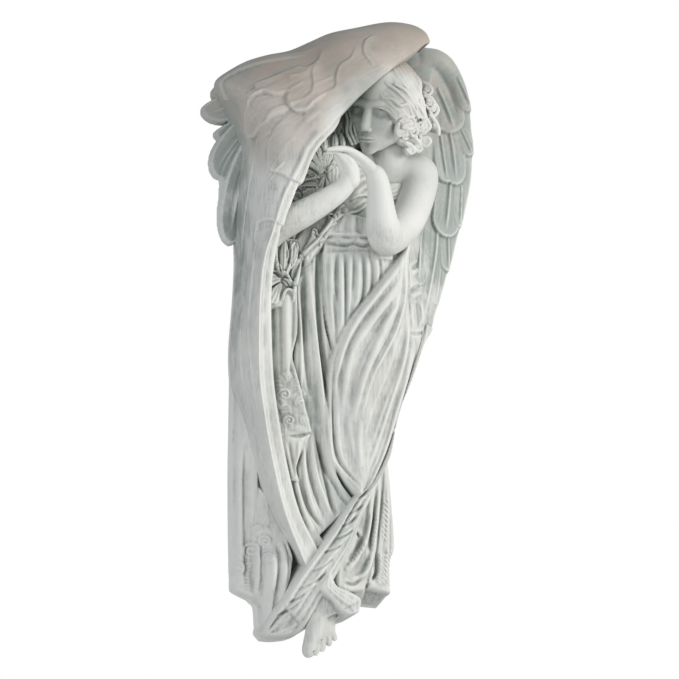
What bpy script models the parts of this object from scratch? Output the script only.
"""An angel wall frieze: a high relief cast in one piece, with a flat back that hangs against a wall.

Places are (across, up, out) in millimetres. Across runs to the viewer's right, up is up, and out is the
distance from the wall. The origin is the hanging point on the flat back, so the wall is the plane Y = 0
and the relief stands out along -Y.
"""

import math

import bmesh
import bpy
import numpy as np
from mathutils import Matrix, Vector

MM = 0.001

# Driving dimensions of the casting.
HEIGHT_UP = 286  # canvas above the hanging point
HEIGHT_DOWN = 530  # canvas below it
HALF_WIDTH = 200  # canvas to either side of it
GRAIN = 3.0  # spacing of the relief's grid
BEHIND = 14  # how far the raw clay runs behind the wall plane before it is cut flat
FUSE = 2.6  # voxel that fuses the shapes into one body
TRIANGLES = 9300  # what the finished solid keeps
CLIFF = 12  # how steeply an edge drops, in millimetres for each millimetre across
RIM_ROLL = 3.5  # radius of the two thin rolls that edge the near wing
FEATHER_LIFT = 5.0  # how proud a feather's tip stands
STONE = (0.66, 0.68, 0.65, 1.0)

# The near wing: its outer edge, its crest, and the border over the figure, from the wrist above the head down
# to where it tucks in.
NEAR_EDGE = [(105, 239, 88), (100, 254, 76), (85, 264, 62), (56, 268, 50), (15, 263, 42), (-38, 243, 32),
             (-93, 221, 28), (-139, 192, 30), (-151, 179, 33), (-139, 153, 44), (-126, 122, 52), (-121, 101, 50),
             (-122, 72, 46), (-125, 40, 40), (-129, 0, 34), (-130, -85, 26), (-132, -145, 22), (-126, -192, 26),
             (-113, -240, 42), (-100, -292, 44), (-80, -348, 44), (-51, -404, 52)]
NEAR_CREST = [(104, 237, 90), (93, 231, 98), (78, 219, 106), (52, 198, 120), (21, 170, 130), (-8, 143, 137),
              (-38, 111, 140), (-56, 92, 139), (-67, 77, 139), (-75, 57, 138), (-85, 38, 136), (-98, 3, 132),
              (-115, -46, 127), (-121, -80, 122), (-122, -130, 117), (-120, -188, 110), (-112, -236, 105),
              (-99, -290, 99), (-79, -347, 93), (-50, -405, 86)]
NEAR_BORDER = [(101, 238, 86), (93, 230, 88), (80, 217, 95), (53, 196, 108), (23, 170, 116), (-7, 140, 122),
               (-32, 108, 128), (-50, 90, 129), (-61, 73, 129), (-69, 53, 127), (-78, 33, 125), (-91, -2, 121),
               (-104, -54, 116), (-107, -88, 112), (-105, -132, 110), (-102, -185, 107), (-94, -234, 101),
               (-81, -288, 95), (-62, -343, 89), (-34, -390, 85)]

# The far wing: its outer and its inner edge beside the figure, then those of the band that crosses the legs.
FAR_OUTER = [(112, 245, 46), (132, 243, 42), (150, 233, 38), (164, 212, 34), (173, 185, 30), (181, 140, 28),
             (180, 96, 28), (176, 67, 28), (164, 24, 30), (149, -24, 34), (131, -74, 40), (116, -119, 46)]
FAR_INNER = [(70, 240, 42), (84, 180, 34), (92, 120, 34), (84, 60, 40), (80, -13, 56), (84, -82, 66),
             (81, -120, 72)]
BAND_OUTER = [(118, -112, 54), (100, -136, 72), (90, -158, 80), (78, -187, 86), (58, -242, 90), (49, -278, 92),
              (27, -323, 93), (4, -383, 90), (-23, -432, 82), (-45, -476, 64), (-64, -484, 54), (-85, -484, 40)]
BAND_INNER = [(100, -108, 68), (93, -137, 78), (76, -183, 84), (48, -267, 92), (30, -303, 97), (7, -323, 101),
              (-19, -363, 98), (-39, -390, 94), (-59, -418, 88), (-72, -441, 78), (-88, -480, 46)]

# Cloth, each panel between a left and a right route. Lowest first: the hems, the layers inside the dress, the
# folds and the mantle beside it, and the cloth drawn over the thigh.
BACKING = ([(-60, 210, 30), (-110, 100, 40), (-116, -60, 40), (-116, -250, 40), (-90, -430, 40)],
           [(110, 236, 30), (130, 100, 26), (100, -60, 40), (60, -250, 44), (30, -420, 44)])
LEFT_HEM = ([(-126, -150, 6), (-128, -242, 6), (-126, -301, 6), (-124, -372, 5), (-122, -435, 4)],
            [(-104, -150, 50), (-100, -250, 48), (-98, -330, 44), (-98, -390, 38), (-98, -440, 30)])
MIDDLE_HEM = ([(-106, -300, 30), (-105, -380, 34), (-101, -432, 30), (-91, -450, 8), (-86, -486, 5)],
              [(-78, -330, 50), (-67, -368, 60), (-62, -392, 70), (-71, -442, 60), (-77, -484, 30)])
RIGHT_HEM = ([(44, -262, 60), (38, -330, 60), (33, -390, 56), (36, -424, 50)],
             [(60, -262, 50), (66, -322, 46), (69, -376, 45), (62, -395, 45), (63, -429, 45)])
LACE_BACK = ([(20, -300, 70), (4, -360, 74), (-8, -400, 78), (-10, -436, 76)],
             [(50, -290, 60), (44, -350, 58), (38, -395, 58), (28, -430, 60)])
ANKLE = ([(-36, -424, 84), (-40, -445, 78), (-50, -466, 70), (-46, -475, 66)],
         [(-16, -420, 88), (-4, -440, 80), (8, -456, 70), (6, -462, 66)])
FLAP = ([(-28, -414, 94), (-35, -430, 98), (-22, -442, 97), (-12, -451, 94), (1, -457, 90)],
        [(-22, -412, 94), (-15, -427, 95), (2, -434, 93), (15, -441, 88), (13, -453, 87)])
CHEST = ([(20, 118, 50), (16, 60, 58), (10, 10, 66)], [(84, 112, 42), (108, 70, 54), (100, 10, 66)])
BODICE = ([(-66, 96, 66), (-56, 50, 76), (-42, 20, 83), (-30, -10, 87)],
          [(40, 104, 60), (54, 66, 70), (62, 34, 80), (64, 6, 88), (58, -10, 90)])
SASH = ([(-28, -8, 80), (-28, -36, 80)], [(60, -8, 86), (56, -36, 88)])
SKIRT = ([(-29, -30, 81), (-27, -76, 80), (-23, -112, 79), (-17, -142, 79), (-11, -168, 80)],
         [(74, -20, 84), (46, -60, 85), (10, -100, 85), (-4, -140, 84), (-9, -168, 82)])
INNER_FOLDS = ([(-56, 20, 70), (-62, -40, 70), (-60, -140, 70), (-58, -250, 72), (-36, -372, 80)],
               [(-24, 20, 74), (-29, -18, 74), (-25, -110, 75), (-14, -165, 78), (-16, -290, 84), (8, -328, 90)])
OUTER_FOLDS = ([(-96, -190, 66), (-90, -245, 68), (-78, -303, 70), (-57, -365, 76), (-44, -385, 80)],
               [(-70, -190, 72), (-66, -250, 74), (-56, -310, 75), (-36, -360, 80), (-24, -378, 84)])
MANTLE = ([(-101, -18, 64), (-98, -72, 68), (-99, -126, 70), (-96, -186, 70), (-90, -232, 72), (-82, -254, 76)],
          [(-54, -24, 78), (-61, -72, 84), (-61, -126, 84), (-66, -157, 83), (-61, -178, 83), (-42, -247, 82)])
SLEEVE = ([(-84, 14, 70), (-78, -20, 73), (-74, -44, 75), (-68, -66, 77)],
          [(-26, 30, 80), (-38, 0, 82), (-50, -26, 82), (-60, -56, 79)])
DRAPE = ([(76, -10, 88), (58, -39, 91), (20, -88, 92), (-9, -131, 92), (-22, -186, 91), (-22, -257, 92),
          (-19, -280, 93), (-6, -304, 95), (8, -322, 97)],
         [(79, -12, 84), (79, -120, 85), (70, -172, 87), (55, -216, 89), (30, -288, 93), (14, -322, 97)])
BESIDE_DRAPE = ([(78, -60, 80), (76, -110, 82), (68, -160, 84), (52, -210, 87), (36, -260, 90), (10, -322, 95)],
                [(104, -60, 60), (100, -110, 70), (94, -139, 77), (78, -185, 83), (50, -269, 91), (30, -308, 95)])
GATHERED = ([(80, 24, 74), (78, -6, 78), (78, -60, 82), (76, -100, 84), (74, -123, 85)],
            [(118, 24, 40), (110, 0, 46), (101, -40, 54), (105, -78, 60), (104, -119, 68)])
GARLAND_BACK = [([(-34, 152, 70), (-60, 92, 74), (-80, 50, 76), (-96, 12, 76)],
                 [(18, 152, 74), (14, 112, 78), (2, 84, 82), (-10, 50, 84), (-30, 18, 84)]),
                ([(-14, 34, 84), (-48, 4, 82), (-66, -24, 82)], [(2, 22, 90), (-26, -14, 88), (-48, -44, 84)]),
                ([(-104, -16, 76), (-106, -60, 76), (-106, -98, 74)],
                 [(-54, -16, 82), (-58, -50, 82), (-64, -100, 79)])]

# Feathers: (base, tip, width). The outer ones come first, and each later one lies over those before it.
BACK_FEATHERS = [((-101, 114), (-128, -13), 36), ((-71, 154), (-147, 71), 36), ((-56, 181), (-147, 121), 24),
                 ((-66, 194), (-163, 148), 34)]
NEAR_FEATHERS = [((-110, 104), (-121, -34), 29), ((-89, 62), (-114, -29), 26), ((-48, 126), (-95, 52), 46),
                 ((-66, 160), (-122, 112), 42), ((-44, 196), (-113, 149), 36), ((-41, 218), (-149, 176), 40)]
FAR_FEATHERS = [((131, 195), (153, 140), 40), ((156, 209), (177, 170), 29), ((123, 186), (131, 140), 28),
                ((146, 145), (155, 73), 34), ((164, 147), (179, 114), 23), ((135, 136), (142, 75), 26),
                ((148, 76), (137, 5), 41), ((164, 75), (160, 20), 22), ((127, 11), (97, -120), 37),
                ((143, 12), (143, -38), 26), ((132, -27), (122, -82), 26), ((106, 33), (95, -62), 29)]
BACK_LAYER = 34  # how far out the second layer of feathers lies, behind the near wing's edge

# Rounded forms, as routes of (across, up, out, radius).
NEAR_ARM = [(-100, -14, 84, 19), (-79, 1, 95, 17), (-36, 25, 109, 13.8), (-17, 39, 113, 11.8), (-7, 62, 120, 9)]
NEAR_HAND = [(-7, 62, 120, 9), (-14, 71, 127, 6.5), (-27, 81, 129, 4)]
FAR_ARM = [(99, 80, 57, 21), (87, 35, 72, 19.5), (55, -8, 95, 17.5), (36, -1, 110, 16.5), (29, 38, 121, 12),
           (21, 60, 128, 8.4)]
FAR_HAND = [(21, 60, 128, 8.4), (9, 71, 130, 7), (-8, 80, 132, 6), (-24, 83, 133, 5), (-38, 82, 133, 3.4)]
NECK = [(56, 130, 56, 19), (60, 108, 53, 19), (64, 84, 48, 22)]
FOOT = [(-27, -452, 62, 15), (-28, -472, 66, 14), (-28, -484, 69, 12)]
INSTEP, INSTEP_RADII = (-29, -486, 69), (16, 14, 9)
CURLS = [(74, 126, 98), (66, 118, 106), (84, 112, 86), (96, 128, 94), (97, 110, 88), (99, 172, 92),
         (104, 156, 92), (110, 134, 92)]
TOES = [(-44, -502, 74, 6), (-36, -502, 74, 4.5), (-28, -498, 73, 4.5), (-20, -492, 71, 4), (-13, -486, 69, 4)]
STEMS = [[(2, 30, 92, 3.5), (-17, 14, 92, 4), (-40, -19, 90, 4), (-56, -44, 88, 3.5)],
         [(-80, -60, 86, 4), (-71, -66, 88, 4), (-65, -97, 84, 3.5)]]
LEAVES = [((-32, 65, 88), (-49, 79, 88), 9), ((-31, 66, 88), (-40, 96, 88), 14), ((-27, 67, 88), (-18, 90, 88), 14),
          ((-54, 24, 82), (-74, 33, 82), 12), ((-48, 24, 84), (-51, 46, 84), 12), ((-38, 28, 84), (-42, 48, 84), 12),
          ((-77, -60, 86), (-66, -22, 88), 15), ((-80, -60, 86), (-87, -20, 86), 16),
          ((-82, -65, 84), (-102, -67, 82), 20), ((-82, -71, 84), (-93, -96, 82), 18),
          ((-56, -40, 90), (-65, -76, 90), 12), ((-58, -39, 88), (-38, -12, 90), 15)]


def smooth_route(points, steps=8):
    """A Catmull-Rom curve through the points, as rows of places along it."""
    p = np.array(points, float)
    p = np.vstack([2 * p[0] - p[1], p, 2 * p[-1] - p[-2]])
    t = np.linspace(0, 1, steps, endpoint=False)[:, None]
    runs = []
    for a, b, c, d in zip(p, p[1:], p[2:], p[3:]):
        cubic = (3 * b - a - 3 * c + d) * t**3
        square = (2 * a - 5 * b + 4 * c - d) * t**2
        runs.append((2 * b + (c - a) * t + square + cubic) / 2)
    return np.vstack([*runs, p[-2:-1]])


def nearest(route, across, up):
    """For each place: its distance from the route, the route's height there, and how far along that is."""
    gap = np.full(across.shape, np.inf)
    height, share = np.zeros(across.shape), np.zeros(across.shape)
    count = len(route) - 1
    for i, (a, b) in enumerate(zip(route, route[1:])):
        dx, dz = b[0] - a[0], b[1] - a[1]
        t = ((across - a[0]) * dx + (up - a[1]) * dz) / max(dx * dx + dz * dz, 1e-9)
        t = np.clip(t, 0, 1)
        here = np.hypot(across - a[0] - t * dx, up - a[1] - t * dz)
        closer = here < gap
        gap = np.where(closer, here, gap)
        height = np.where(closer, a[2] + t * (b[2] - a[2]), height)
        share = np.where(closer, (i + t) / count, share)
    return gap, height, share


def inside(ring, across, up):
    """Whether each place lies within the closed ring of points."""
    within = np.zeros(across.shape, bool)
    for a, b in zip(ring, np.roll(ring, -1, axis=0)):
        crosses = (a[1] > up) != (b[1] > up)
        if crosses.any():
            at = a[0] + (up - a[1]) * (b[0] - a[0]) / (b[1] - a[1] + 1e-12)
            within ^= crosses & (across < at)
    return within


class Relief:
    """Clay on a board: the height of the relief over a grid of places on the wall."""

    def __init__(self):
        self.across_line = np.arange(-HALF_WIDTH, HALF_WIDTH + GRAIN, GRAIN)
        self.up_line = np.arange(-HEIGHT_DOWN, HEIGHT_UP + GRAIN, GRAIN)
        self.across, self.up = np.meshgrid(self.across_line, self.up_line, indexing="ij")
        self.out = np.full(self.across.shape, -6.0)

    def lay(self, left, right, crown=0, bulge=1, pleats=(), edge_round=4, profile=None):
        """Stretches a surface between two routes. A crown lifts its middle, a bulge fills out its left side,
        pleats of (place at the top, place at the end, half width, height) run down it, and a profile adds a
        height for each share of the way across and along."""
        left, right = smooth_route(left), smooth_route(right)
        ring = np.vstack([left, right[::-1]])
        gap_left, out_left, share_left = nearest(left, self.across, self.up)
        gap_right, out_right, share_right = nearest(right, self.across, self.up)
        q = gap_left / (gap_left + gap_right + 1e-6)
        share = share_left + (share_right - share_left) * q
        border = nearest(np.vstack([ring, ring[:1]]), self.across, self.up)[0]
        depth = np.where(inside(ring, self.across, self.up), border, -border)
        out = out_left + (out_right - out_left) * (1 - (1 - q) ** bulge) ** (1 / bulge)
        out += crown * np.sin(np.pi * q)
        roll = np.zeros(out.shape)
        for start, end, half, height in pleats:
            t = (q - start - (end - start) * share) / half
            roll = np.maximum(roll, height * np.sqrt(np.clip(1 - t * t, 0, 1)))
        over = np.clip(edge_round - depth, 0, edge_round)
        dip = edge_round - np.sqrt(np.clip(edge_round**2 - over**2, 0, None))
        out = out + roll - dip + CLIFF * np.minimum(depth, 0)
        if profile:
            out = out + profile(q, share)
        self.out = np.maximum(self.out, out)

    def stroke(self, route, half, height):
        """Adds a round roll along a route, or presses a groove when its height is negative."""
        gap, _, share = nearest(smooth_route(route), self.across, self.up)
        fade = np.clip(np.minimum(share, 1 - share) * 4, 0, 1)
        self.out += height * fade * np.sqrt(np.clip(1 - (gap / half) ** 2, 0, 1))

    def feathers(self, rows, floor):
        """Lays round-tipped feathers over what is there. Each is flat at its base and proud at its tip."""
        bed = np.maximum(self.out, floor)
        for base, tip, width in rows:
            a, b = np.array(base, float), np.array(tip, float)
            length = np.linalg.norm(b - a)
            way = (b - a) / length
            along = (self.across - a[0]) * way[0] + (self.up - a[1]) * way[1]
            aside = np.abs((self.across - a[0]) * way[1] - (self.up - a[1]) * way[0])
            past = np.clip((along - length + width / 2) / (width / 2), 0, 1)
            half = width / 2 * np.sqrt(1 - past**2) * (0.75 + 0.25 * np.clip(along / length, 0, 1))
            on = (along > 0) & (along < length) & (aside < half)
            camber = 2.5 * (1 - (aside / np.maximum(half, 1e-6)) ** 2)
            shaft = 1.5 * np.exp(-((aside / 2.5) ** 2))
            proud = FEATHER_LIFT * (0.2 + 0.8 * along / length)
            self.out = np.where(on, bed + proud + camber + shaft, self.out)

    def as_object(self):
        """The relief as a closed block: a displaced grid, extruded behind the wall plane."""
        bm = bmesh.new()
        nx, nz = len(self.across_line) - 1, len(self.up_line) - 1
        bmesh.ops.create_grid(bm, x_segments=nx, y_segments=nz, size=1)
        for v in bm.verts:
            i, j = round((v.co.x + 1) / 2 * nx), round((v.co.y + 1) / 2 * nz)
            v.co = place(self.across_line[i], self.up_line[j], self.out[i, j])
        front = list(bm.faces)
        grown = bmesh.ops.extrude_face_region(bm, geom=front)
        for v in [g for g in grown["geom"] if isinstance(g, bmesh.types.BMVert)]:
            v.co.y = BEHIND * MM
        bmesh.ops.recalc_face_normals(bm, faces=bm.faces)
        return object_from(bm, "relief")


def place(across, up, out):
    """A point of the wall's frame, in metres."""
    return Vector((across, -out, up)) * MM


def object_from(bm, name):
    mesh = bpy.data.meshes.new(name)
    bm.to_mesh(mesh)
    bm.free()
    made = bpy.data.objects.new(name, mesh)
    bpy.context.scene.collection.objects.link(made)
    return made


def limb(name, route):
    """A round form that follows a route of (across, up, out, radius), with rounded ends."""
    curve = bpy.data.curves.new(name, "CURVE")
    curve.dimensions = "3D"
    curve.bevel_depth = MM
    curve.bevel_resolution = 3
    curve.resolution_u = 6
    curve.use_fill_caps = True
    spline = curve.splines.new("BEZIER")
    spline.bezier_points.add(len(route) - 1)
    for point, (across, up, out, radius) in zip(spline.bezier_points, route):
        point.co = place(across, up, out)
        point.radius = radius
        point.handle_left_type = point.handle_right_type = "AUTO"
    made = bpy.data.objects.new(name, curve)
    bpy.context.scene.collection.objects.link(made)
    ends = [egg(name + "_end", r[:3], (r[3],) * 3) for r in (route[0], route[-1])]
    return [made, *ends]


def egg(name, centre, radii, turn=None):
    """An ellipsoid. radii are across, up and out before the turn."""
    bm = bmesh.new()
    bmesh.ops.create_uvsphere(bm, u_segments=24, v_segments=16, radius=MM)
    size = Matrix.Diagonal((radii[0], radii[2], radii[1], 1))
    turn = turn.to_4x4() if turn else Matrix.Identity(4)
    bmesh.ops.transform(bm, matrix=Matrix.Translation(place(*centre)) @ turn @ size, verts=bm.verts)
    return object_from(bm, name)


def leaf(name, base, tip, width):
    """A pointed oval leaf from base to tip."""
    way = place(*tip) - place(*base)
    middle = [(a + b) / 2 for a, b in zip(base, tip)]
    turn = way.to_track_quat("Z", "Y").to_matrix()
    return egg(name, middle, (width / 2, way.length / MM / 2, 4.5), turn)


def figure():
    """The angel's head, hair, neck, arms, hands and foot."""
    forms = []
    tilt = Matrix.Rotation(math.radians(12), 3, "Y") @ Matrix.Rotation(math.radians(-22), 3, "X")
    forms.append(egg("skull", (50, 160, 82), (42, 49, 42), tilt))
    forms.append(egg("face", (28, 126, 94), (25, 38, 27), tilt))
    forms.append(egg("nose", (8, 128, 118), (4, 10, 7), tilt))
    forms.append(egg("shoulder", (76, 74, 42), (36, 30, 30)))
    forms.append(egg("instep", INSTEP, INSTEP_RADII))
    for i, (across, up, out) in enumerate(CURLS):
        forms.append(egg(f"curl_{i}", (across, up, out), (11, 11, 10)))
    for i, (across, up, out, radius) in enumerate(TOES):
        forms.append(egg(f"toe_{i}", (across, up, out), (radius, radius * 1.6, radius)))
    routes = {"near_arm": NEAR_ARM, "near_hand": NEAR_HAND, "far_arm": FAR_ARM, "far_hand": FAR_HAND,
              "neck": NECK, "foot": FOOT}
    for name, route in routes.items():
        forms += limb(name, route)
    return forms


def rims():
    """The two rolls along the front of the near wing."""
    forms = []
    for name, route in (("crest_roll", NEAR_CREST[5:]), ("border_roll", NEAR_BORDER[5:])):
        forms += limb(name, [(across, up, out - 1, RIM_ROLL) for across, up, out in route])
    return forms


def garland():
    forms = [leaf(f"leaf_{i}", *row) for i, row in enumerate(LEAVES)]
    for i, route in enumerate(STEMS):
        forms += limb(f"stem_{i}", route)
    return forms


def band_folds(q, s):
    """A notched rim along the band's upper edge, and long feathers that lie side by side."""
    rim = 3.0 * np.exp(-(((q - 0.08) / 0.09) ** 2)) - 3.0 * np.exp(-(((q - 0.24) / 0.08) ** 2))
    rows = ((0.38, 0.14, 4), (0.6, 0.13, 3), (0.8, 0.12, 4))
    return rim + sum(height * np.sqrt(np.clip(1 - ((q - at) / half) ** 2, 0, 1)) for at, half, height in rows)


def relief():
    """Everything that is solid down to the wall: both wings and all the cloth."""
    clay = Relief()
    clay.lay(*BACKING)
    clay.lay(FAR_INNER, FAR_OUTER, crown=5)
    clay.stroke([(104, 234, 0), (126, 236, 0), (146, 224, 0), (160, 204, 0), (169, 180, 0), (174, 150, 0)], 17, 9)
    clay.feathers(FAR_FEATHERS, 24)
    clay.lay(*LEFT_HEM, bulge=2.4, pleats=[(0.35, 0.3, 0.2, 5)], edge_round=2)
    clay.lay(*MIDDLE_HEM, bulge=2.2, pleats=[(0.3, 0.3, 0.2, 4), (0.7, 0.75, 0.2, 4)])
    clay.lay(*LACE_BACK, pleats=[(0.3, 0.3, 0.16, 5), (0.75, 0.7, 0.16, 5)])
    clay.lay(*RIGHT_HEM, crown=2, pleats=[(0.7, 0.7, 0.16, 4)], edge_round=5)
    clay.lay(*ANKLE, crown=2)
    clay.lay(*FLAP, crown=2)
    clay.lay(*CHEST, crown=14)
    clay.lay(*INNER_FOLDS, pleats=[(c, c, 0.12, 7) for c in (0.12, 0.4, 0.75)])
    clay.lay(*OUTER_FOLDS, pleats=[(c, c, 0.14, 4) for c in (0.2, 0.6, 0.9)])
    clay.lay(*SKIRT, crown=4, pleats=[(c, c, 0.05, 3) for c in np.arange(0.08, 1, 0.13)])
    clay.lay(*SASH, crown=2, edge_round=2)
    clay.lay(*BODICE, crown=3, edge_round=2, pleats=[(c, c, 0.1, 2.5) for c in (0.2, 0.45, 0.7)])
    clay.lay(*MANTLE, edge_round=3, pleats=[(0.5, 0.5, 0.2, 3)])
    clay.lay(*SLEEVE)
    for sides in GARLAND_BACK:
        clay.lay(*sides, crown=2, edge_round=3)
    clay.lay(*GATHERED, crown=2)
    clay.lay(*BESIDE_DRAPE, crown=2, pleats=[(0.4, 0.4, 0.15, 3)])
    clay.lay(*DRAPE, crown=8, pleats=[(0.12, 0.1, 0.08, 3), (0.35, 0.38, 0.14, 4), (0.7, 0.75, 0.16, 4)])
    clay.lay(BAND_INNER, BAND_OUTER, crown=3, profile=band_folds)
    behind = Relief()
    behind.feathers(BACK_FEATHERS, BACK_LAYER)
    wing = Relief()
    wing.lay(NEAR_EDGE, NEAR_CREST, bulge=1.9, edge_round=3)
    wing.lay(NEAR_CREST, NEAR_BORDER, edge_round=2)
    wing.feathers(NEAR_FEATHERS, 18)
    clay.out = np.maximum.reduce([clay.out, behind.out, wing.out])
    return clay.as_object()


def fused(forms):
    """All the shapes as one mesh, fused by voxels and cut flat at the wall."""
    bpy.context.view_layer.update()
    graph = bpy.context.evaluated_depsgraph_get()
    bm = bmesh.new()
    for form in forms:
        mesh = bpy.data.meshes.new_from_object(form.evaluated_get(graph))
        mesh.transform(form.matrix_world)
        bm.from_mesh(mesh)
        bpy.data.objects.remove(form)
    bmesh.ops.remove_doubles(bm, verts=bm.verts, dist=0.00001)
    frieze = object_from(bm, "angel_frieze")
    remesh = frieze.modifiers.new("fuse", "REMESH")
    remesh.mode = "VOXEL"
    remesh.voxel_size = FUSE * MM
    bpy.context.view_layer.update()
    graph = bpy.context.evaluated_depsgraph_get()
    raw = bpy.data.meshes.new_from_object(frieze.evaluated_get(graph))
    frieze.modifiers.clear()
    frieze.data = raw
    return frieze


def cut_flat(frieze):
    """Cuts away what is behind the wall plane, caps the cut and keeps the largest body."""
    bm = bmesh.new()
    bm.from_mesh(frieze.data)
    everything = [*bm.verts, *bm.edges, *bm.faces]
    bmesh.ops.bisect_plane(bm, geom=everything, plane_co=(0, 0, 0), plane_no=(0, 1, 0), clear_outer=True)
    rim = [e for e in bm.edges if e.is_boundary]
    bmesh.ops.holes_fill(bm, edges=rim, sides=0)
    bmesh.ops.triangulate(bm, faces=bm.faces)
    keep = max(islands(bm), key=len)
    bmesh.ops.delete(bm, geom=[v for v in bm.verts if v not in keep], context="VERTS")
    bmesh.ops.recalc_face_normals(bm, faces=bm.faces)
    bm.to_mesh(frieze.data)
    bm.free()


def islands(bm):
    """The sets of vertices that hang together."""
    left, found = set(bm.verts), []
    while left:
        grown, edge = set(), [left.pop()]
        while edge:
            v = edge.pop()
            grown.add(v)
            near = {e.other_vert(v) for e in v.link_edges} & left
            left -= near
            edge += near
        found.append(grown)
    return found


def thinned(frieze):
    """Thins the mesh to its triangle budget and sets the flat back exactly on the wall."""
    faces = len(frieze.data.polygons)
    thin = frieze.modifiers.new("thin", "DECIMATE")
    thin.ratio = TRIANGLES / faces
    bpy.context.view_layer.update()
    graph = bpy.context.evaluated_depsgraph_get()
    mesh = bpy.data.meshes.new_from_object(frieze.evaluated_get(graph))
    frieze.modifiers.clear()
    frieze.data = mesh
    for v in mesh.vertices:
        if v.co.y > -0.2 * MM:
            v.co.y = 0


def stone():
    """Pale cast stone with a grey-green wash."""
    material = bpy.data.materials.new("antique_stone")
    material.use_nodes = True
    shader = material.node_tree.nodes["Principled BSDF"]
    shader.inputs["Base Color"].default_value = STONE
    shader.inputs["Roughness"].default_value = 0.75
    shader.inputs["Metallic"].default_value = 0.0
    return material


def main():
    for old in list(bpy.data.objects):
        bpy.data.objects.remove(old)
    forms = [relief(), *rims(), *figure(), *garland()]
    frieze = fused(forms)
    cut_flat(frieze)
    thinned(frieze)
    frieze.data.materials.clear()
    frieze.data.materials.append(stone())
    frieze.data.name = "angel_frieze"
    collection = bpy.data.collections.new("angel_wall_frieze")
    bpy.context.scene.collection.children.link(collection)
    bpy.context.scene.collection.objects.unlink(frieze)
    collection.objects.link(frieze)


main()
